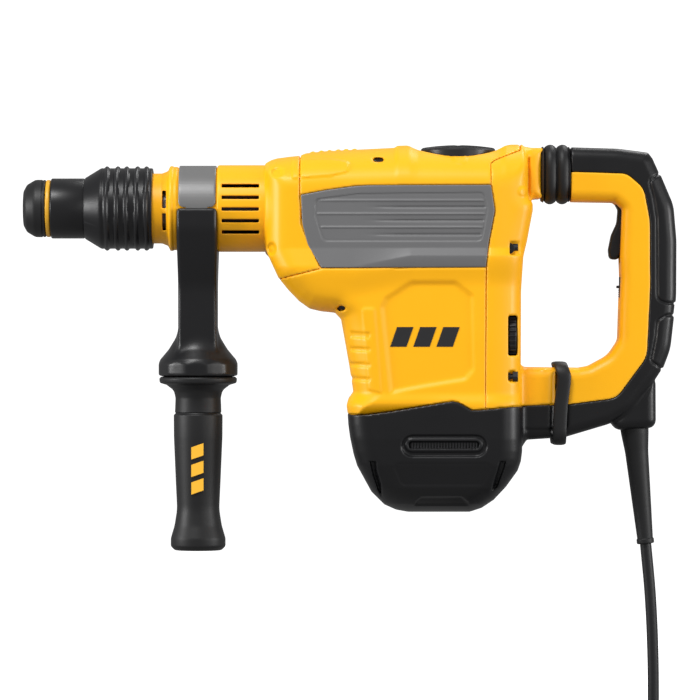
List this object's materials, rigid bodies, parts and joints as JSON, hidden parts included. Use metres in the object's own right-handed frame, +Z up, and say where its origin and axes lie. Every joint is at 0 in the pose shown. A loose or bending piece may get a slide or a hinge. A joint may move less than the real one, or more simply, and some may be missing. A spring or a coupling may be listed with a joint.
{
  "type": "corded rotary demolition hammer",
  "caption": "Corded rotary demolition hammer with an SDS-max style tool holder, a vertical motor, a clamped side handle and a sprung D-shaped rear handle with a trigger.",
  "frame": {"origin": "middle of the rear grip, on the tool's mid-plane, where a hand holds the tool", "axes": "+X rearwards along the spindle axis, away from the nose; +Z up; the speed dial is on the -Y side"},
  "size_m": [0.485, 0.1387, 0.4653],
  "materials": {
    "yellow_plastic": "fine-textured glass-filled nylon, safety yellow",
    "black_plastic": "fine-textured glass-filled nylon, black",
    "grey_plastic": "satin grey moulded plastic",
    "grip_rubber": "soft overmoulded elastomer",
    "cord_rubber": "matt rubber sheath",
    "strap_steel": "grey coated steel band",
    "yellow_ring": "yellow elastomer ring",
    "steel": "ground",
    "dark_steel": "hardened, blackened",
    "lamination": "stacked laminations with varnished windings",
    "copper": "turned copper segments",
    "aluminium": "die-cast"
  },
  "bodies": {
    "rear_handle": {"handle_front_shell": "yellow_plastic", "handle_rear_shell": "black_plastic", "pivot_pin": "steel", "lower_boot": "grip_rubber", "upper_bellows": "grip_rubber", "trigger_pin": "steel", "switch_module": "black_plastic", "strain_relief": "cord_rubber", "power_cord": "cord_rubber", "cord_coil": "cord_rubber", "coil_tie": "black_plastic", "plug_body": "cord_rubber", "plug_blade_left": "steel", "plug_blade_right": "steel"},
    "trigger": {"trigger": "black_plastic"},
    "lock_slider": {"lock_slider": "black_plastic"},
    "housing": {"barrel": "yellow_plastic", "front_cover": "yellow_plastic", "main_housing": "yellow_plastic", "side_panel_left": "grey_plastic", "side_panel_right": "grey_plastic", "rear_cover": "yellow_plastic", "motor_cap": "black_plastic", "rear_screw_upper": "dark_steel", "rear_screw_lower": "dark_steel", "isolator_bolt": "steel", "stator": "lamination", "brush_left": "dark_steel", "brush_right": "dark_steel", "lower_bearing": "steel", "upper_bearing": "steel", "bearing_plate": "aluminium", "spindle_bearing": "steel"},
    "mode_dial": {"mode_dial": "black_plastic"},
    "speed_dial": {"speed_dial": "black_plastic"},
    "armature": {"armature_shaft": "steel", "armature_core": "lamination", "commutator": "copper", "cooling_fan": "black_plastic"},
    "crank": {"crankshaft": "steel", "crank_gear": "steel"},
    "intermediate_shaft": {"intermediate_shaft": "steel", "intermediate_gear": "steel"},
    "spindle": {"spindle": "steel", "face_gear": "steel", "dust_cap": "grip_rubber", "retaining_ring": "yellow_ring", "sleeve_spring": "steel"},
    "locking_roller_upper": {"locking_roller_upper": "dark_steel"},
    "locking_roller_lower": {"locking_roller_lower": "dark_steel"},
    "lock_sleeve": {"lock_sleeve": "black_plastic"},
    "piston": {"piston": "aluminium", "connecting_rod": "steel", "crank_pin": "steel"},
    "striker": {"striker": "dark_steel"},
    "beat_piece": {"beat_piece": "dark_steel"},
    "side_handle": {"handle_yoke": "black_plastic"},
    "side_grip": {"side_grip": "grip_rubber"},
    "handle_clamp": {"clamp_strap": "strap_steel", "tension_bolt": "steel"}
  },
  "joints": [
    {"name": "handle_isolation", "type": "hinge", "parent": "rear_handle", "child": "housing", "pos_m": [-0.064, 0, -0.091], "axis": [0, 1, 0], "range_deg": [0, 2], "stiffness_Nm_per_rad": 500, "springref_deg": -1.15, "deforming": ["upper_bellows"]},
    {"name": "trigger_pull", "type": "hinge", "parent": "rear_handle", "child": "trigger", "pos_m": [-0.0165, 0, 0.041], "axis": [0, -1, 0], "range_deg": [0, 8], "stiffness_Nm_per_rad": 1, "springref_deg": -5.73},
    {"name": "lock_slide", "type": "slide", "parent": "rear_handle", "child": "lock_slider", "axis": [0, 0, 1], "range_m": [-0.006, 0]},
    {"name": "mode_select", "type": "hinge", "parent": "housing", "child": "mode_dial", "pos_m": [-0.1406, 0, 0.082], "axis": [0, 0, 1], "range_deg": [-90, 90]},
    {"name": "speed_select", "type": "hinge", "parent": "housing", "child": "speed_dial", "pos_m": [-0.1, -0.0225, -0.0528], "axis": [1, 0, 0], "range_deg": [0, 270]},
    {"name": "armature_spin", "type": "hinge", "parent": "housing", "child": "armature", "pos_m": [-0.161, 0, -0.078], "axis": [0, 0, 1], "continuous": true},
    {"name": "crank_spin", "type": "hinge", "parent": "housing", "child": "crank", "pos_m": [-0.13037, 0, 0.002], "axis": [0, 0, 1], "continuous": true},
    {"name": "intermediate_spin", "type": "hinge", "parent": "housing", "child": "intermediate_shaft", "pos_m": [-0.19162, 0, -0.008], "axis": [0, 0, 1], "continuous": true},
    {"name": "spindle_spin", "type": "hinge", "parent": "housing", "child": "spindle", "pos_m": [-0.314, 0, 0.042], "axis": [1, 0, 0], "continuous": true},
    {"name": "sleeve_pull", "type": "slide", "parent": "spindle", "child": "lock_sleeve", "axis": [1, 0, 0], "range_m": [0, 0.008], "stiffness_N_per_m": 1500, "springref_m": -0.008, "deforming": ["sleeve_spring"]},
    {"name": "roller_upper_release", "type": "slide", "parent": "spindle", "child": "locking_roller_upper", "axis": [0, 0, 1], "range_m": [0, 0.0016]},
    {"name": "roller_lower_release", "type": "slide", "parent": "spindle", "child": "locking_roller_lower", "axis": [0, 0, -1], "range_m": [0, 0.0016]},
    {"name": "piston_stroke", "type": "slide", "parent": "housing", "child": "piston", "axis": [1, 0, 0], "range_m": [0, 0.024]},
    {"name": "striker_flight", "type": "slide", "parent": "housing", "child": "striker", "axis": [1, 0, 0], "range_m": [-0.007, 0.022]},
    {"name": "beat_piece_travel", "type": "slide", "parent": "housing", "child": "beat_piece", "axis": [1, 0, 0], "range_m": [-0.006, 0.002]},
    {"name": "side_handle_swing", "type": "hinge", "parent": "housing", "child": "side_handle", "pos_m": [-0.3342, 0, 0.042], "axis": [1, 0, 0], "continuous": true},
    {"name": "grip_screw", "type": "hinge", "parent": "side_handle", "child": "side_grip", "pos_m": [-0.3342, 0, -0.108], "axis": [0, 0, 1], "range_deg": [0, 720]},
    {"name": "clamp_travel", "type": "slide", "parent": "side_handle", "child": "handle_clamp", "axis": [0, 0, 1], "range_m": [0, 0.0025]}
  ],
  "couplings": [
    {"joint": "crank_spin", "follows": "armature_spin", "ratio": -0.16667},
    {"joint": "intermediate_spin", "follows": "armature_spin", "ratio": -0.16667},
    {"joint": "spindle_spin", "follows": "armature_spin", "ratio": 0.027778},
    {"joint": "roller_upper_release", "follows": "sleeve_pull", "ratio": 0.2},
    {"joint": "roller_lower_release", "follows": "sleeve_pull", "ratio": 0.2},
    {"joint": "clamp_travel", "follows": "grip_screw", "m_per_rad": 0.00019894}
  ]
}
